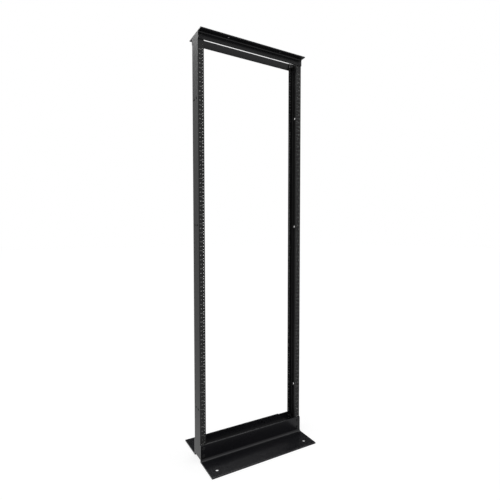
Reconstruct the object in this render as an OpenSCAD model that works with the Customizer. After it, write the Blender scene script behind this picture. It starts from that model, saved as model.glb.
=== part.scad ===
// Two post open frame rack: two drilled channel uprights, tied at the head by a pair of light
// angles and standing on a pair of wide base angles that are anchored to the floor.
// Millimetres. X runs across the rack, Y from front to back, Z up. The origin is on the floor,
// midway between the uprights and midway between the two base angles.

/* [Frame] */
// Overall height, floor to the top of the uprights
rack_h = 2133.6; // [1200:0.1:2600]
// Clear opening between the two uprights
opening_w = 552.45; // [450:0.05:700]

/* [Uprights] */
// Depth of the channel, outside its two flanges
channel_d = 76.2; // [60:0.1:150]
// Width of a flange, outside the web to the flange's edge
flange_w = 31.75; // [28:0.05:50]
// Thickness of the web and the flanges
channel_t = 4.8; // [3:0.1:6]
// Fillet where the web meets a flange, inside
channel_root_r = 3.2; // [1:0.1:6]
// Rounding of the channel's outside corners and flange edges
channel_edge_r = 0.5; // [0.4:0.1:1.4]
// Gap left between the foot of an upright and the floor
foot_gap = 12.7; // [5:0.1:20]

/* [Equipment holes] */
// Height of one rack unit
unit_h = 44.45; // [40:0.05:50]
// From the top of the base angle to the bottom of the lowest unit
unit_gap = 3.175; // [2:0.025:40]
// From the bottom of a unit to its first hole
hole_first = 6.35; // [5:0.05:8]
// From the first hole to the second, and from the second to the third
hole_step = 15.875; // [14:0.005:16]
// Bore of an equipment hole, before its thread is cut
hole_d = 4.5; // [3:0.1:6.5]
// From the free edge of a flange to its line of holes
hole_edge = 7.15; // [5:0.05:9]

/* [Web holes] */
// Bore of the accessory holes in the web
web_hole_d = 12.7; // [6:0.1:14]
// Spacing of a pair of web holes, front to back
web_hole_pitch = 31.75; // [20:0.05:45]
// From the floor to the lower pair
web_hole_low = 263.5; // [150:0.1:400]
// From the top of the rack down to the middle pair
web_hole_mid = 936.6; // [700:0.05:1050]
// From the top of the rack down to the upper pair
web_hole_high = 314.35; // [150:0.05:450]

/* [Top angles] */
// Length of each leg
top_leg = 38.1; // [30:0.1:60]
// Thickness
top_t = 4.75; // [3:0.05:6]
// Fillet in the root
top_root_r = 4.8; // [2:0.1:6]
// Rounding of the inner edge of each toe
top_toe_r = 2.4; // [1:0.1:2.8]
// Bore of the holes in the flat leg that carry a cable runway
runway_hole_d = 10.3; // [6:0.1:14]
// Spacing of the two runway holes
runway_pitch = 304.8; // [150:0.1:400]

/* [Base angles] */
// Width of the flat leg, from the upright outwards
base_leg = 152.4; // [100:0.1:220]
// Height of the standing leg
base_h = 88.9; // [80:0.1:150]
// Thickness
base_t = 6.35; // [5:0.05:10]
// Fillet in the root
base_root_r = 12.7; // [6:0.1:13]
// Rounding of the inner edge of each toe
base_toe_r = 3.2; // [1:0.1:4.5]
// Bore of a floor anchor hole
anchor_d = 17.5; // [10:0.1:24]
// From the end of the angle to its anchor hole
anchor_end = 46; // [30:0.1:80]
// From the outer edge of the flat leg to its anchor holes
anchor_edge = 47.6; // [25:0.1:60]

/* [Joint holes] */
// Bore of the clearance holes for the bolts that join the angles to the uprights
joint_d = 10.3; // [6:0.1:12]
// From the foot of an upright, and from the top edge of a base angle, to the nearest bolt
joint_edge = 19.05; // [15:0.05:22]

/* [Hidden] */

$fn = 48;
coating = [0.19, 0.19, 0.20];
// How far a cutting tool runs past the face that it starts from
past = 1;

rack_w = opening_w + 2 * flange_w;
face_y = channel_d / 2;
// The joint bolts stand on the centre line of each flange
joint_x = rack_w / 2 - flange_w / 2;
low_joint_z = foot_gap + joint_edge;
high_joint_z = base_h - joint_edge;
// The single bolt of a top angle sits in the middle of the flat part of its hanging leg
top_joint_drop = (top_t + top_root_r + top_leg) / 2;

hole_x = opening_w / 2 + hole_edge;
first_unit_z = base_h + unit_gap;
unit_count = floor((rack_h - top_leg - first_unit_z) / unit_h);
hole_heights = [
    for (unit = [0 : unit_count - 1])
        for (hole = [0 : 2])
            first_unit_z + unit * unit_h + hole_first + hole * hole_step
];
web_hole_heights = [web_hole_low, rack_h - web_hole_mid, rack_h - web_hole_high];
anchor_x = rack_w / 2 - anchor_end;
anchor_y = face_y + base_leg - anchor_edge;

// The square-cornered sliver between a corner at the origin and an arc of radius r inside it.
// Added in a root it is a fillet, and cut from an outside corner it rounds the edge.
module corner_sliver(r) {
    difference() {
        translate([-past, -past])
            square(r + past);
        translate([r, r])
            circle(r);
    }
}

// A bore along Y, through everything between the two flange faces and past them
module bore_y(x, z, d, length) {
    translate([x, 0, z])
        rotate([90, 0, 0])
            cylinder(h = length, d = d, center = true);
}

// The uprights' section, with its web on the right and its free edges on the left at x = 0
module channel_profile() {
    inner_w = flange_w - channel_t;
    inner_y = face_y - channel_t;
    difference() {
        translate([0, -face_y])
            square([flange_w, channel_d]);
        difference() {
            translate([-past, -inner_y])
                square([inner_w + past, 2 * inner_y]);
            for (side = [0, 1])
                mirror([0, side])
                    translate([inner_w, inner_y])
                        rotate(180)
                            corner_sliver(channel_root_r);
        }
        for (side = [0, 1])
            mirror([0, side]) {
                translate([flange_w, face_y])
                    rotate(180)
                        corner_sliver(channel_edge_r);
                translate([0, face_y])
                    rotate(-90)
                        corner_sliver(channel_edge_r);
                translate([0, inner_y])
                    corner_sliver(channel_edge_r);
            }
    }
}

// The right-hand upright: the channel, its lines of equipment holes, the pairs of accessory
// holes in its web, and the bolt holes at its head and foot
module upright() {
    across = channel_d + 2 * past;
    difference() {
        translate([opening_w / 2, 0, foot_gap])
            linear_extrude(height = rack_h - foot_gap)
                channel_profile();
        for (z = hole_heights)
            bore_y(hole_x, z, hole_d, across);
        for (z = [low_joint_z, high_joint_z, rack_h - top_joint_drop])
            bore_y(joint_x, z, joint_d, across);
        for (z = web_hole_heights)
            for (side = [-1, 1])
                translate([rack_w / 2 - channel_t - past, side * web_hole_pitch / 2, z])
                    rotate([0, 90, 0])
                        cylinder(h = channel_t + 2 * past, d = web_hole_d);
    }
}

// An angle's section: heel at the origin, one leg along x and one along y
module angle_profile(leg_x, leg_y, t, root_r, toe_r) {
    difference() {
        union() {
            square([leg_x, t]);
            square([t, leg_y]);
            translate([t, t])
                corner_sliver(root_r);
        }
        translate([leg_x, t])
            rotate(180)
                corner_sliver(toe_r);
        translate([t, leg_y])
            rotate(180)
                corner_sliver(toe_r);
    }
}

// An angle as long as the rack is wide, with its standing leg against the rear flanges
module angle_bar(leg_out, leg_up, t, root_r, toe_r) {
    translate([-rack_w / 2, face_y, 0])
        rotate([90, 0, 90])
            linear_extrude(height = rack_w)
                angle_profile(leg_out, leg_up, t, root_r, toe_r);
}

// Bolt holes through the standing leg of an angle, one on each upright
module joint_holes(z, t) {
    for (side = [-1, 1])
        translate([side * joint_x, face_y + t / 2, z])
            rotate([90, 0, 0])
                cylinder(h = t + 2 * past, d = joint_d, center = true);
}

module base_angle() {
    difference() {
        angle_bar(base_leg, base_h, base_t, base_root_r, base_toe_r);
        joint_holes(low_joint_z, base_t);
        joint_holes(high_joint_z, base_t);
        for (side = [-1, 1])
            translate([side * anchor_x, anchor_y, -past])
                cylinder(h = base_t + 2 * past, d = anchor_d);
    }
}

module top_angle() {
    difference() {
        translate([0, 0, rack_h])
            mirror([0, 0, 1])
                angle_bar(top_leg, top_leg, top_t, top_root_r, top_toe_r);
        joint_holes(rack_h - top_joint_drop, top_t);
        for (side = [-1, 1])
            translate([side * runway_pitch / 2, face_y + top_leg / 2, rack_h - top_t - past])
                cylinder(h = top_t + 2 * past, d = runway_hole_d);
    }
}

module right_upright() {
    color(coating)
        upright();
}

module left_upright() {
    color(coating)
        mirror([1, 0, 0])
            upright();
}

module rear_top_angle() {
    color(coating)
        top_angle();
}

module front_top_angle() {
    color(coating)
        mirror([0, 1, 0])
            top_angle();
}

module rear_base_angle() {
    color(coating)
        base_angle();
}

module front_base_angle() {
    color(coating)
        mirror([0, 1, 0])
            base_angle();
}

left_upright();
right_upright();
front_top_angle();
rear_top_angle();
front_base_angle();
rear_base_angle();
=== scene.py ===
import math

import bpy
import numpy as np
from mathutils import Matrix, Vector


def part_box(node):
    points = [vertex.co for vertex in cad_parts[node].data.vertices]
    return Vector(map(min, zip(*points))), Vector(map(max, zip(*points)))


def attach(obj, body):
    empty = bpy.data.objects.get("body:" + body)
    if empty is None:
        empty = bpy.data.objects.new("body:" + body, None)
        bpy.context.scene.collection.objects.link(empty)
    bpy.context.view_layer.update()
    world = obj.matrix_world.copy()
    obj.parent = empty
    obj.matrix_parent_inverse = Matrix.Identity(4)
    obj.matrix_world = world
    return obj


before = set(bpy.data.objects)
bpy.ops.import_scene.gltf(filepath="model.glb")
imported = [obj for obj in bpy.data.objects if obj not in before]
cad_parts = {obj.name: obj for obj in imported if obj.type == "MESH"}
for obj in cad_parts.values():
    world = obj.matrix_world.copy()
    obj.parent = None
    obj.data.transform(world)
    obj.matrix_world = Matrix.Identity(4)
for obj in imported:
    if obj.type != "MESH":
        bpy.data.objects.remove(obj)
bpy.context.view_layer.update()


# Base angles. Two wide aluminium angles, sawn to the rack's width, rounded inside at root and toes, and
# drilled for the floor anchors. They are washed, sprayed with black powder and baked, which leaves a
# satin skin with a fine orange peel. Their corners are painted lighter, as a painted edge highlight.
def node_group(name, inputs, outputs):
    """An empty shader group with float or vector inputs (name: default) and outputs (name: type)."""
    group = bpy.data.node_groups.new(name, "ShaderNodeTree")
    for label, default in inputs.items():
        kind = "NodeSocketVector" if default is None else "NodeSocketFloat"
        socket = group.interface.new_socket(label, in_out="INPUT", socket_type=kind)
        if default is not None:
            socket.default_value = default
    for label, kind in outputs.items():
        group.interface.new_socket(label, in_out="OUTPUT", socket_type="NodeSocket" + kind)
    return group, group.nodes.new("NodeGroupInput"), group.nodes.new("NodeGroupOutput")


def noise(tree, vector, scale, detail, roughness=0.5):
    """A noise texture on the given vector. The scale is a number, or a socket that carries one."""
    texture = tree.nodes.new("ShaderNodeTexNoise")
    texture.inputs["Detail"].default_value = detail
    texture.inputs["Roughness"].default_value = roughness
    tree.links.new(vector, texture.inputs["Vector"])
    if isinstance(scale, (int, float)):
        texture.inputs["Scale"].default_value = scale
    else:
        tree.links.new(scale, texture.inputs["Scale"])
    return texture.outputs["Fac"]


def remap(tree, value, from_low, from_high, to_low, to_high):
    """The value carried from one range to another, and held inside the second."""
    ramp = tree.nodes.new("ShaderNodeMapRange")
    limits = {"From Min": from_low, "From Max": from_high, "To Min": to_low, "To Max": to_high}
    for label, number in limits.items():
        ramp.inputs[label].default_value = number
    tree.links.new(value, ramp.inputs["Value"])
    return ramp.outputs["Result"]


def combine(tree, operation, first, second):
    """One Math node. Either side is a number, or a socket that carries one."""
    maths = tree.nodes.new("ShaderNodeMath")
    maths.operation = operation
    for socket, value in zip(maths.inputs, (first, second)):
        if isinstance(value, (int, float)):
            socket.default_value = value
        else:
            tree.links.new(value, socket)
    return maths.outputs["Value"]


def build_powder_skin():
    """Powder skin: Height is broad orange peel plus fine grit, Cloud is slow unevenness of the film and
    Grit is the fine grain by itself. The sizes are how many features there are to a metre."""
    group, given, made = node_group(
        "powder_skin",
        {"Place": None, "Peel": 420.0, "Grain": 2400.0, "Film": 7.0},
        {"Height": "Float", "Cloud": "Float", "Grit": "Float"},
    )
    peel = noise(group, given.outputs["Place"], given.outputs["Peel"], 1.5)
    grit = noise(group, given.outputs["Place"], given.outputs["Grain"], 2.0, 0.6)
    film = noise(group, given.outputs["Place"], given.outputs["Film"], 3.0)
    height = combine(group, "ADD", peel, combine(group, "MULTIPLY", grit, 0.35))
    group.links.new(height, made.inputs["Height"])
    group.links.new(remap(group, film, 0.3, 0.7, 0.0, 1.0), made.inputs["Cloud"])
    group.links.new(remap(group, grit, 0.3, 0.7, 0.0, 1.0), made.inputs["Grit"])
    return group


def build_rubbed_corners():
    """Painted edge highlight: EdgeHighlight rises to one where the surface turns within Reach metres,
    broken up by noise. It lightens the coat's corners as painted highlight lines.
    """
    group, given, made = node_group(
        "painted_edge_highlight", {"Place": None, "Reach": 0.0012, "Patches": 55.0}, {"EdgeHighlight": "Float"}
    )
    rounded = group.nodes.new("ShaderNodeBevel")
    rounded.samples = 4
    group.links.new(given.outputs["Reach"], rounded.inputs["Radius"])
    flat = group.nodes.new("ShaderNodeNewGeometry")
    turn = group.nodes.new("ShaderNodeVectorMath")
    turn.operation = "DOT_PRODUCT"
    group.links.new(rounded.outputs["Normal"], turn.inputs[0])
    group.links.new(flat.outputs["Normal"], turn.inputs[1])
    corner = remap(group, turn.outputs["Value"], 0.995, 0.8, 0.0, 1.0)
    patches = noise(group, given.outputs["Place"], given.outputs["Patches"], 4.0)
    broken = remap(group, patches, 0.4, 0.62, 0.15, 1.0)
    group.links.new(combine(group, "MULTIPLY", corner, broken), made.inputs["EdgeHighlight"])
    return group


powder_skin = build_powder_skin()
painted_edge_highlight = build_rubbed_corners()


def place_group(tree, group, place, **settings):
    """A copy of a shared group in a material, reading Place and given its own settings."""
    node = tree.nodes.new("ShaderNodeGroup")
    node.node_tree = group
    tree.links.new(place, node.inputs["Place"])
    for label, value in settings.items():
        node.inputs[label].default_value = value
    return node


def mix_colours(tree, mask, first, second):
    """The first colour where the mask is zero and the second where it is one."""
    mix = tree.nodes.new("ShaderNodeMix")
    mix.data_type = "RGBA"
    for socket, value in ((mix.inputs["A"], first), (mix.inputs["B"], second)):
        if isinstance(value, tuple):
            socket.default_value = (*value, 1.0)
        else:
            tree.links.new(value, socket)
    tree.links.new(mask, mix.inputs["Factor"])
    return mix.outputs["Result"]


def bare_material(name):
    """A node material with only its surface shader, and the object coordinates that it reads."""
    material = bpy.data.materials.new(name)
    material.use_nodes = True
    shader = material.node_tree.nodes["Principled BSDF"]
    place = material.node_tree.nodes.new("ShaderNodeTexCoord").outputs["Object"]
    return material, material.node_tree, shader, place


def powder_coat(name, thin_film, thick_film, edge_highlight_colour, roughness, peel_depth, **skin):
    """Black powder coat: satin and non-metallic, uneven in film and grain, with a painted edge highlight
    that makes its corners lighter and a little glossier.
    """
    material, tree, shader, place = bare_material(name)
    texture = place_group(tree, powder_skin, place, **skin)
    edge_highlight = place_group(tree, painted_edge_highlight, place).outputs["EdgeHighlight"]
    film = mix_colours(tree, texture.outputs["Cloud"], thin_film, thick_film)
    # The corners are mixed towards a lighter colour: a painted edge highlight.
    tree.links.new(mix_colours(tree, edge_highlight, film, edge_highlight_colour), shader.inputs["Base Color"])
    grain = remap(tree, texture.outputs["Grit"], 0.0, 1.0, roughness - 0.03, roughness + 0.03)
    roughness_glossier_at_edges = combine(tree, "SUBTRACT", grain, combine(tree, "MULTIPLY", edge_highlight, 0.05))
    tree.links.new(roughness_glossier_at_edges, shader.inputs["Roughness"])
    bump = tree.nodes.new("ShaderNodeBump")
    bump.inputs["Strength"].default_value = 0.5
    bump.inputs["Distance"].default_value = peel_depth
    tree.links.new(texture.outputs["Height"], bump.inputs["Height"])
    tree.links.new(bump.outputs["Normal"], shader.inputs["Normal"])
    shader.inputs["Specular IOR Level"].default_value = coat_sheen
    return material


coat_sheen = 0.22
angle_coat = powder_coat(
    "angle_powder_coat",
    thin_film=(0.0062, 0.0062, 0.0078),
    thick_film=(0.0082, 0.0082, 0.0098),
    # The corner colour is a painted edge highlight.
    edge_highlight_colour=(0.02, 0.02, 0.021),
    roughness=0.24,
    peel_depth=0.00006,
)


def finish_cad(names, material):
    """Puts a material on every slot of these nodes."""
    for name in names:
        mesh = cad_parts[name].data
        mesh.materials.clear()
        mesh.materials.append(material)


finish_cad(["front_base_angle", "rear_base_angle"], angle_coat)

# Uprights. Two aluminium channels with their flanges turned inwards, drilled and tapped with the equipment
# holes and drilled through the web. The coat is the same powder, on a slightly coarser extruded skin, and
# the 12-24 threads cut through it in every equipment hole.
unit_height = 0.04445
first_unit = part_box("front_base_angle")[1].z + 0.003175
first_hole = 0.00635
hole_step = 0.015875
hole_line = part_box("right_upright")[0].x + 0.00715
thread_pitch = 0.0254 / 24


def build_tapped_thread():
    """Tapped thread: Height is the triangle wave |2 frac(y / pitch + angle / turn) - 1| of a screw thread
    round the nearest equipment hole, and Mask is one within Bore metres of that hole's axis. In a unit the
    three holes stand at first_hole + hole_step * (0, 1, 2), so the nearest one is the rounded step."""
    group, given, made = node_group(
        "tapped_thread", {"Place": None, "Bore": 0.00232}, {"Height": "Float", "Mask": "Float"}
    )
    parts = group.nodes.new("ShaderNodeSeparateXYZ")
    group.links.new(given.outputs["Place"], parts.inputs["Vector"])
    above = combine(group, "SUBTRACT", parts.outputs["Z"], first_unit)
    units = combine(group, "DIVIDE", above, unit_height)
    rise = combine(group, "MULTIPLY", combine(group, "FRACT", units, 0.0), unit_height)
    steps = combine(group, "DIVIDE", combine(group, "SUBTRACT", rise, first_hole), hole_step)
    nearest = combine(group, "MINIMUM", combine(group, "ROUND", steps, 0.0), 2.0)
    up = combine(group, "MULTIPLY", combine(group, "SUBTRACT", steps, nearest), hole_step)
    out = combine(group, "SUBTRACT", combine(group, "ABSOLUTE", parts.outputs["X"], 0.0), hole_line)
    square = combine(group, "ADD", combine(group, "POWER", up, 2.0), combine(group, "POWER", out, 2.0))
    away = combine(group, "SQRT", square, 0.0)
    turns = combine(group, "DIVIDE", combine(group, "ARCTAN2", up, out), 2.0 * math.pi)
    screw = combine(group, "ADD", combine(group, "DIVIDE", parts.outputs["Y"], thread_pitch), turns)
    doubled = combine(group, "MULTIPLY", combine(group, "FRACT", screw, 0.0), 2.0)
    wave = combine(group, "SUBTRACT", doubled, 1.0)
    group.links.new(combine(group, "ABSOLUTE", wave, 0.0), made.inputs["Height"])
    group.links.new(combine(group, "LESS_THAN", away, given.outputs["Bore"]), made.inputs["Mask"])
    return group


def cut_threads(material, bare_metal, depth):
    """Adds the tapped thread to a coat: bare metal in the bores, and the thread's wave over the skin's."""
    tree = material.node_tree
    shader = tree.nodes["Principled BSDF"]
    place = tree.nodes["Texture Coordinate"].outputs["Object"]
    thread = place_group(tree, build_tapped_thread(), place)
    mask = thread.outputs["Mask"]
    coat = shader.inputs["Base Color"].links[0].from_socket
    tree.links.new(mix_colours(tree, mask, coat, bare_metal), shader.inputs["Base Color"])
    tree.links.new(combine(tree, "MULTIPLY", mask, 0.6), shader.inputs["Metallic"])
    skin = shader.inputs["Normal"].links[0].from_socket
    bump = tree.nodes.new("ShaderNodeBump")
    bump.inputs["Distance"].default_value = depth
    tree.links.new(combine(tree, "MULTIPLY", thread.outputs["Height"], mask), bump.inputs["Height"])
    tree.links.new(skin, bump.inputs["Normal"])
    tree.links.new(bump.outputs["Normal"], shader.inputs["Normal"])


upright_coat = powder_coat(
    "upright_powder_coat",
    thin_film=(0.008, 0.008, 0.0083),
    thick_film=(0.010, 0.010, 0.0103),
    # The corner colour is a painted edge highlight.
    edge_highlight_colour=(0.022, 0.022, 0.023),
    roughness=0.36,
    peel_depth=0.00007,
    Peel=380.0,
    Film=5.0,
)
cut_threads(upright_coat, bare_metal=(0.22, 0.22, 0.22), depth=0.0005)
finish_cad(["left_upright", "right_upright"], upright_coat)

# Top angles. A pair of light aluminium angles with their flat legs level with the heads of the
# uprights, coated in the same batch as the base angles.
finish_cad(["front_top_angle", "rear_top_angle"], angle_coat)


# Joint fasteners. Twelve 3/8 inch bolts with low socket heads, turned and rolled from steel and blackened,
# one at each end of a top angle and two at each end of a base angle. A split lock washer and a hexagon nut
# hold each one inside the channel, with the bolt's end standing a little proud of the nut.
def grid_faces(rows, columns, rows_closed, columns_closed):
    """Quads of a grid of points numbered row by row, joined from last to first where it is closed."""
    row = np.arange(rows if rows_closed else rows - 1)[:, None]
    column = np.arange(columns if columns_closed else columns - 1)[None, :]
    next_row = (row + 1) % rows * columns
    next_column = (column + 1) % columns
    row = row * columns
    quads = [row + column, row + next_column, next_row + next_column, next_row + column]
    return np.stack(quads, axis=-1).reshape(-1, 4).tolist()


def mesh_object(name, points, faces, material):
    """A linked object at the origin with this mesh, in metres, shaded smooth but for its sharp edges."""
    mesh = bpy.data.meshes.new(name)
    mesh.from_pydata(points.tolist(), [], faces)
    mesh.shade_smooth()
    mesh.set_sharp_from_angle(angle=math.radians(32.0))
    mesh.materials.append(material)
    made = bpy.data.objects.new(name, mesh)
    bpy.context.scene.collection.objects.link(made)
    return made


def add_piece(name, points, faces, material):
    """A mesh object that belongs to the rack, hung on its root body, with the given material."""
    piece = mesh_object(name, points, faces, material)
    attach(piece, "root")


def turned(profile, angles, centre, side):
    """Points of a profile turned round a bolt's axis, which points out of the rack to the front (side -1)
    or to the back (side 1). A profile row is (round radius, half the width across flats, height, thread)
    in millimetres, and its radius is
    min(round, flats / cos(angle folded to 30 degrees)) - thread * |2 frac(height / pitch - turns) - 1|."""
    rounds, flats, height, thread = np.array(profile, float).T[:, :, None]
    facet = np.cos((angles + math.pi / 6) % (math.pi / 3) - math.pi / 6)
    wave = np.abs(2.0 * ((height / bolt_pitch - angles / (2.0 * math.pi)) % 1.0) - 1.0)
    radius = np.minimum(rounds, flats / facet) - thread * wave
    out = side * height + 0.0 * radius
    across = radius * np.cos(angles)
    rise = -side * radius * np.sin(angles)
    return np.array(centre) + np.stack([across, out, rise], axis=-1).reshape(-1, 3) * 0.001


bolt_pitch = 25.4 / 16
thread_radius = 4.76
thread_depth = 0.9
shank_radius = 4.7
head_radius = 8.0
head_height = 2.6
head_edge_radius = 0.7
socket_half_width = 2.75
socket_floor = 0.5
full_turn = np.linspace(0.0, 2.0 * math.pi, 48, endpoint=False)
no_flats = 99.0
flange_thickness = 4.8
washer_thickness = 2.2
nut_thickness = 8.3
end_stands_proud = 2.5


def bolt(name, centre, side, grip, steel):
    """A bolt from its threaded end to its socket. Its heights are taken from under its head."""
    tip = -(grip + washer_thickness + nut_thickness + end_stands_proud)
    thread_start = tip + 0.6
    thread_rows = np.arange(0.0, 3.0 * bolt_pitch, bolt_pitch / 8)
    thread_end = thread_start + thread_rows[-1] + 0.3
    edge_foot = head_height - 0.3 - head_edge_radius
    bend = np.linspace(0.0, math.pi / 2, 5)
    profile = [(3.6, no_flats, tip, 0.0), (4.1, no_flats, tip + 0.15, 0.0)]
    profile += [(thread_radius, no_flats, thread_start + rise, thread_depth) for rise in thread_rows]
    profile += [(4.5, no_flats, thread_end, 0.0), (shank_radius, no_flats, thread_end + 0.3, 0.0)]
    profile += [(shank_radius, no_flats, -0.6, 0.0), (4.85, no_flats, -0.2, 0.0), (5.0, no_flats, 0.0, 0.0)]
    profile += [(7.7, no_flats, 0.0, 0.0), (7.92, no_flats, 0.08, 0.0), (head_radius, no_flats, 0.3, 0.0)]
    profile += [
        (
            head_radius - head_edge_radius * (1.0 - math.cos(turn)),
            no_flats,
            edge_foot + head_edge_radius * math.sin(turn),
            0.0,
        )
        for turn in bend
    ]
    profile += [(5.6, no_flats, 2.5, 0.0), (3.6, no_flats, head_height, 0.0), (3.35, no_flats, 2.55, 0.0)]
    profile += [(no_flats, socket_half_width, 2.3, 0.0), (no_flats, socket_half_width, socket_floor, 0.0)]
    profile += [(1.6, no_flats, socket_floor / 2, 0.0)]
    steps = len(full_turn)
    faces = grid_faces(len(profile), steps, False, True)
    last = steps * (len(profile) - 1)
    faces += [list(range(steps))[::-1], list(range(last, last + steps))]
    add_piece(name, turned(profile, full_turn, centre, side), faces, steel)


def lock_washer(name, centre, side, grip, steel):
    """A split ring of nearly square section, cut through by a gap of about a millimetre."""
    lower = [(4.95, 0.25), (5.2, 0.0), (7.6, 0.0), (7.85, 0.25)]
    ring = lower + [(radius, washer_thickness - rise) for radius, rise in lower[::-1]]
    profile = [(radius, no_flats, height - grip - washer_thickness, 0.0) for radius, height in ring]
    open_turn = np.linspace(math.radians(65.0), math.radians(415.0), 60)
    steps = len(open_turn)
    faces = grid_faces(len(profile), steps, True, False)
    first_end = [row * steps for row in range(len(profile))]
    faces += [first_end, [corner + steps - 1 for corner in first_end][::-1]]
    add_piece(name, turned(profile, open_turn, centre, side), faces, steel)


def hexagon_nut(name, centre, side, grip, steel):
    """A hexagon nut whose corners are cut back at both ends by a 30 degree cone."""
    half_flats = 7.15
    seat = -(grip + washer_thickness + nut_thickness)
    cone = [(6.8 + 1.732 * rise, half_flats, rise) for rise in (0.0, 0.2, 0.35, 0.5, 0.65, 0.85)]
    lower = [(radius, flats, seat + rise, 0.0) for radius, flats, rise in cone]
    upper = [(radius, flats, seat + nut_thickness - rise, 0.0) for radius, flats, rise in cone[::-1]]
    bore = [(5.4, nut_thickness), (4.9, nut_thickness - 0.5), (4.9, 0.5), (5.4, 0.0)]
    profile = lower + upper + [(radius, no_flats, seat + rise, 0.0) for radius, rise in bore]
    faces = grid_faces(len(profile), len(full_turn), True, True)
    add_piece(name, turned(profile, full_turn, centre, side), faces, steel)


def black_oxide():
    """Blackened steel with an oily sheen: dark and metallic, with a fine grain and a slow cloud."""
    material, tree, shader, place = bare_material("black_oxide_steel")
    texture = place_group(tree, powder_skin, place, Peel=1500.0, Grain=6000.0, Film=60.0)
    cloud = mix_colours(tree, texture.outputs["Cloud"], (0.016, 0.016, 0.017), (0.026, 0.026, 0.027))
    tree.links.new(cloud, shader.inputs["Base Color"])
    tree.links.new(remap(tree, texture.outputs["Grit"], 0.0, 1.0, 0.36, 0.5), shader.inputs["Roughness"])
    bump = tree.nodes.new("ShaderNodeBump")
    bump.inputs["Strength"].default_value = 0.3
    bump.inputs["Distance"].default_value = 0.00001
    tree.links.new(texture.outputs["Height"], bump.inputs["Height"])
    tree.links.new(bump.outputs["Normal"], shader.inputs["Normal"])
    shader.inputs["Metallic"].default_value = 0.6
    shader.inputs["Specular IOR Level"].default_value = 0.3
    return material


oxide = black_oxide()
upright_low, upright_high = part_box("right_upright")
bolt_x = (upright_low.x + upright_high.x) / 2
base_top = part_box("front_base_angle")[1].z
bolt_inset = 0.01905
base_leg_thickness = 6.35
top_leg_thickness = 4.75
top_bolt_drop = 0.023825
joints = [
    ("base_low", upright_low.z + bolt_inset, base_leg_thickness),
    ("base_high", base_top - bolt_inset, base_leg_thickness),
    ("top", upright_high.z - top_bolt_drop, top_leg_thickness),
]
for joint, height, leg in joints:
    for row, side in (("front", -1), ("rear", 1)):
        for post, x in (("left", -bolt_x), ("right", bolt_x)):
            centre = (x, side * (upright_high.y + leg * 0.001), height)
            label = f"{row}_{joint}_{post}"
            bolt(f"bolt_{label}", centre, side, leg + flange_thickness, oxide)
            lock_washer(f"lock_washer_{label}", centre, side, leg + flange_thickness, oxide)
            hexagon_nut(f"nut_{label}", centre, side, leg + flange_thickness, oxide)


# Unit marks. A tick at the bottom line of every rack unit and the unit's number above it, screen printed
# on the four flanges in pale grey ink, a few hundredths of a millimetre thick.
def printed_ink():
    """Matt grey ink, a little thin in places and slightly grained like the coat under it."""
    material, tree, shader, place = bare_material("printed_grey_ink")
    texture = place_group(tree, powder_skin, place, Peel=1800.0, Grain=9000.0, Film=120.0)
    cover = mix_colours(tree, texture.outputs["Grit"], (0.6, 0.6, 0.58), (0.74, 0.74, 0.72))
    tree.links.new(cover, shader.inputs["Base Color"])
    tree.links.new(remap(tree, texture.outputs["Cloud"], 0.0, 1.0, 0.55, 0.7), shader.inputs["Roughness"])
    bump = tree.nodes.new("ShaderNodeBump")
    bump.inputs["Strength"].default_value = 0.4
    bump.inputs["Distance"].default_value = 0.00001
    tree.links.new(texture.outputs["Height"], bump.inputs["Height"])
    tree.links.new(bump.outputs["Normal"], shader.inputs["Normal"])
    shader.inputs["Specular IOR Level"].default_value = 0.3
    return material


def digit_shape(digit):
    """One digit as a thin mesh one metre high: its points, its faces and its width. Its foot is at zero."""
    curve = bpy.data.curves.new("digit", "FONT")
    curve.body = str(digit)
    curve.resolution_u = 4
    curve.extrude = 0.004
    letter = bpy.data.objects.new("digit", curve)
    bpy.context.scene.collection.objects.link(letter)
    shape = bpy.data.meshes.new_from_object(letter.evaluated_get(bpy.context.evaluated_depsgraph_get()))
    points = np.empty(len(shape.vertices) * 3)
    shape.vertices.foreach_get("co", points)
    points = points.reshape(-1, 3)
    faces = [list(face.vertices) for face in shape.polygons]
    low, high = points.min(axis=0), points.max(axis=0)
    points = (points - [low[0], low[1], 0.0]) / [high[1] - low[1], high[1] - low[1], high[2]]
    bpy.data.objects.remove(letter)
    bpy.data.curves.remove(curve)
    bpy.data.meshes.remove(shape)
    return points, faces, points[:, 0].max()


def tick_shape(wide, tall):
    """A tick as a thin block, centred on zero up and down, with its near end at zero."""
    corners = np.array([(x, y, z) for z in (-1.0, 1.0) for y in (-0.5, 0.5) for x in (0.0, 1.0)])
    faces = [[0, 2, 3, 1], [4, 5, 7, 6], [0, 1, 5, 4], [2, 6, 7, 3], [0, 4, 6, 2], [1, 3, 7, 5]]
    return corners * [wide, tall, 1.0], faces


ink = printed_ink()
ink_thickness = 0.00004
digit_height = 0.0046
digit_gap = 0.0007
numbers_end = 0.0127
tick_start = 0.0047
tick_end = 0.0211
tick_stroke = 0.0007
digits = [digit_shape(digit) for digit in range(10)]
units = int((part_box("front_top_angle")[0].z - first_unit) / unit_height)


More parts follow.
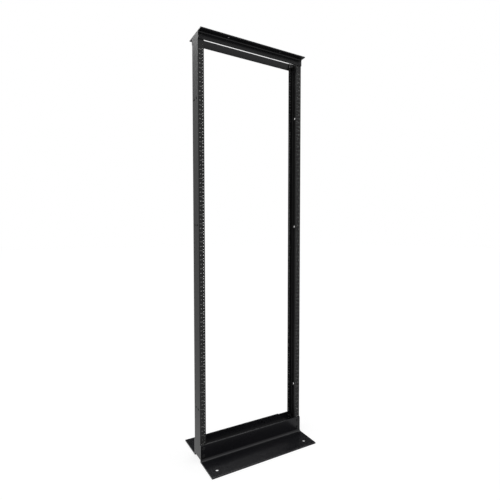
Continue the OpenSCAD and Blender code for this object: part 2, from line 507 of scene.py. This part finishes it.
def flange_marks(post, side):
    """Points and faces of all the marks on one flange, flat, with x to the reader's right and y upwards.
    The numbers end level with each other on the side of the holes."""
    reads_out = post * side > 0
    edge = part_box("right_upright")[1].x
    points, faces, count = [], [], 0

    def lay(shape, shape_faces, x, y):
        nonlocal count
        points.append(shape + [x, y, 0.0])
        faces.extend([corner + count for corner in face] for face in shape_faces)
        count += len(shape)

    for unit in range(units):
        line = first_unit + unit * unit_height
        tick, tick_faces = tick_shape(tick_end - tick_start, tick_stroke)
        lay(tick, tick_faces, edge - tick_end if reads_out else tick_start - edge, line)
        if unit == units - 1:
            continue
        word = [digits[int(sign)] for sign in str(unit + 1)]
        wide = sum(width for _, _, width in word) * digit_height + digit_gap * (len(word) - 1)
        x = edge - numbers_end if reads_out else numbers_end - edge - wide
        for shape, shape_faces, width in word:
            scaled = shape * [digit_height, digit_height, 1.0]
            lay(scaled, shape_faces, x, line + (unit_height - digit_height) / 2)
            x += width * digit_height + digit_gap
    return np.concatenate(points), faces


for row, side in (("front", 1), ("rear", -1)):
    for name, post in (("left", -1), ("right", 1)):
        flat, faces = flange_marks(post, side)
        face_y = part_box("right_upright")[0].y
        depth = face_y - flat[:, 2] * ink_thickness
        marks = np.stack([side * flat[:, 0], side * depth, flat[:, 1]], axis=1)
        add_piece(f"unit_marks_{row}_{name}", marks, faces, ink)

# Studio. A pale floor that runs out of sight into a white surround, and one broad soft lamp overhead.
# The floor and the surround look white to the camera and in reflections, and the floor keeps shadows.
# A grey curved flag behind the rack and a bright scrim above it show in the satin coat and nowhere else.
def seen_directly(tree):
    """One for rays from the camera, and for what a gloss or glass shows, and zero for all others."""
    path = tree.nodes.new("ShaderNodeLightPath")
    seen = combine(tree, "MAXIMUM", path.outputs["Is Camera Ray"], path.outputs["Is Glossy Ray"])
    return combine(tree, "MAXIMUM", seen, path.outputs["Is Transmission Ray"])


floor_reach = 30.0
corners = np.linspace(-floor_reach, floor_reach, 9)
grid_x, grid_y = np.meshgrid(corners, corners)
floor_points = np.stack([grid_x.ravel(), grid_y.ravel(), np.zeros(grid_x.size)], axis=1)
floor_paint, tree, floor_shader, place = bare_material("studio_floor_paint")
floor_shader.inputs["Base Color"].default_value = (0.3, 0.3, 0.3, 1.0)
floor_shader.inputs["Roughness"].default_value = 0.9
floor_shader.inputs["Specular IOR Level"].default_value = 0.0
floor_shader.inputs["Emission Color"].default_value = (1.0, 1.0, 1.0, 1.0)
glow = combine(tree, "MULTIPLY", seen_directly(tree), 0.75)
tree.links.new(glow, floor_shader.inputs["Emission Strength"])
floor_faces = grid_faces(len(corners), len(corners), False, False)
mesh_object("studio_floor", floor_points, floor_faces, floor_paint)

def show_in_gloss_only(screen):
    """Stages a screen that is seen in reflections and neither lights, shades nor shows by itself."""
    screen.visible_camera = False
    screen.visible_diffuse = False
    screen.visible_shadow = False
    screen.visible_transmission = False


def screen_paint(name, level):
    """A material that only glows, by a function of its tree and its object coordinates."""
    material, tree, shader, place = bare_material(name)
    shader.inputs["Base Color"].default_value = (0.0, 0.0, 0.0, 1.0)
    shader.inputs["Specular IOR Level"].default_value = 0.0
    shader.inputs["Emission Color"].default_value = (1.0, 1.0, 1.0, 1.0)
    tree.links.new(level(tree, place), shader.inputs["Emission Strength"])
    return material


def blend_levels(tree, mask, first, second):
    """The first level where the mask is zero and the second where it is one."""
    change = combine(tree, "MULTIPLY", combine(tree, "SUBTRACT", second, first), mask)
    return combine(tree, "ADD", change, first)


def flag_level(tree, place):
    """Grey levels of the curved flag. On the left they are side_level + side_rise * (z - eye_height)^2,
    on the right right_level, and on the floor they brighten as floor_level + floor_rise / distance. All
    of it fades into the white floor in front of the rack's middle."""
    parts = tree.nodes.new("ShaderNodeSeparateXYZ")
    tree.links.new(place, parts.inputs["Vector"])
    distance = tree.nodes.new("ShaderNodeVectorMath")
    distance.operation = "LENGTH"
    tree.links.new(place, distance.inputs[0])
    from_eye = combine(tree, "SUBTRACT", parts.outputs["Z"], eye_height)
    square = combine(tree, "POWER", combine(tree, "ABSOLUTE", from_eye, 0.0), 2.0)
    wall = combine(tree, "ADD", combine(tree, "MULTIPLY", square, side_rise), side_level)
    nearness = combine(tree, "DIVIDE", floor_rise, distance.outputs["Value"])
    ground = combine(tree, "MINIMUM", combine(tree, "ADD", nearness, floor_level), 1.0)
    raised = remap(tree, parts.outputs["Z"], 0.01, 0.3, 0.0, 1.0)
    left = blend_levels(tree, raised, ground, wall)
    right = remap(tree, parts.outputs["X"], -0.6, 1.2, 0.0, 1.0)
    both = blend_levels(tree, combine(tree, "MULTIPLY", right, raised), left, right_level)
    behind = remap(tree, parts.outputs["Y"], 0.0, 0.6, 0.0, 1.0)
    return blend_levels(tree, behind, 1.0, both)


eye_height = 1.15
side_level = 0.6
side_rise = 0.033
floor_level = 0.6
floor_rise = 0.14
right_level = 0.03
flag_radius = 5.0
flag_top = 5.2
flag_bend = 0.3
flag_lift = 0.0006
ground_rows = 24
wall_rows = 20
bend = np.linspace(0.0, math.pi / 2, 9)[1:]
flag_out = np.concatenate(
    [
        np.linspace(0.05, flag_radius - flag_bend, ground_rows),
        flag_radius - flag_bend * (1.0 - np.sin(bend)),
        np.full(wall_rows, flag_radius),
    ]
)
flag_up = np.concatenate(
    [
        np.full(ground_rows, flag_lift),
        flag_lift + flag_bend * (1.0 - np.cos(bend)),
        np.linspace(flag_bend, flag_top, wall_rows + 1)[1:],
    ]
)
flag_turn = np.linspace(-math.pi / 2, math.pi / 2, 49)
flag_points = np.stack(
    [
        flag_out[:, None] * np.sin(flag_turn),
        flag_out[:, None] * np.cos(flag_turn),
        flag_up[:, None] + 0.0 * flag_turn,
    ],
    axis=-1,
).reshape(-1, 3)
flag_faces = grid_faces(len(flag_out), len(flag_turn), False, False)
flag_grey = screen_paint("rear_flag_grey", flag_level)
show_in_gloss_only(mesh_object("rear_flag", flag_points, flag_faces, flag_grey))


def scrim_glow(tree, place):
    """The scrim's level: even in front of the rack, and brighter towards its far edge behind the rack."""
    parts = tree.nodes.new("ShaderNodeSeparateXYZ")
    tree.links.new(place, parts.inputs["Vector"])
    return remap(tree, parts.outputs["Y"], 0.0, scrim_back, scrim_level, scrim_back_level)


scrim_level = 2.5
scrim_back_level = 5.5
scrim_height = 4.5
scrim_left = -1.6
scrim_right = 3.4
scrim_front = -3.0
scrim_back = 4.4
scrim_steps = 5
scrim_x, scrim_y = np.meshgrid(
    np.linspace(scrim_left, scrim_right, scrim_steps), np.linspace(scrim_front, scrim_back, scrim_steps)
)
scrim_points = np.stack([scrim_x.ravel(), scrim_y.ravel(), np.full(scrim_x.size, scrim_height)], axis=1)
scrim_faces = grid_faces(scrim_steps, scrim_steps, False, False)
scrim_white = screen_paint("overhead_scrim_white", scrim_glow)
show_in_gloss_only(mesh_object("overhead_scrim", scrim_points, scrim_faces, scrim_white))

surround = bpy.data.worlds.new("studio_surround")
bpy.context.scene.world = surround
surround.use_nodes = True
tree = surround.node_tree
background = tree.nodes["Background"]
background.inputs["Color"].default_value = (1.0, 1.0, 1.0, 1.0)
strength = combine(tree, "ADD", combine(tree, "MULTIPLY", seen_directly(tree), 0.15), 0.85)
tree.links.new(strength, background.inputs["Strength"])

softbox_data = bpy.data.lights.new("overhead_softbox", "AREA")
softbox_data.shape = "RECTANGLE"
softbox_data.size = 2.4
softbox_data.size_y = 1.2
softbox_data.energy = 18.0
softbox = bpy.data.objects.new("overhead_softbox", softbox_data)
softbox.location = (0.0, -0.2, 4.4)
softbox.visible_camera = False
bpy.context.scene.collection.objects.link(softbox)

# Camera. A wide lens at chest height, in front of the rack and to its left, dipped a little.
view_width = 500
focal_length = 371.867
camera_data = bpy.data.cameras.new("front_left_camera")
camera_data.sensor_width = 36.0
camera_data.lens = focal_length / view_width * camera_data.sensor_width
camera_data.shift_x = -0.007944
camera_data.shift_y = -0.000085
camera_data.clip_end = 100.0
camera = bpy.data.objects.new("front_left_camera", camera_data)
camera.location = (-0.977139, -1.764953, 1.151402)
camera.rotation_euler = (math.radians(90.0 - 2.397), 0.0, math.radians(-29.603))
bpy.context.scene.collection.objects.link(camera)
bpy.context.scene.camera = camera
bpy.context.scene.view_settings.view_transform = "Standard"
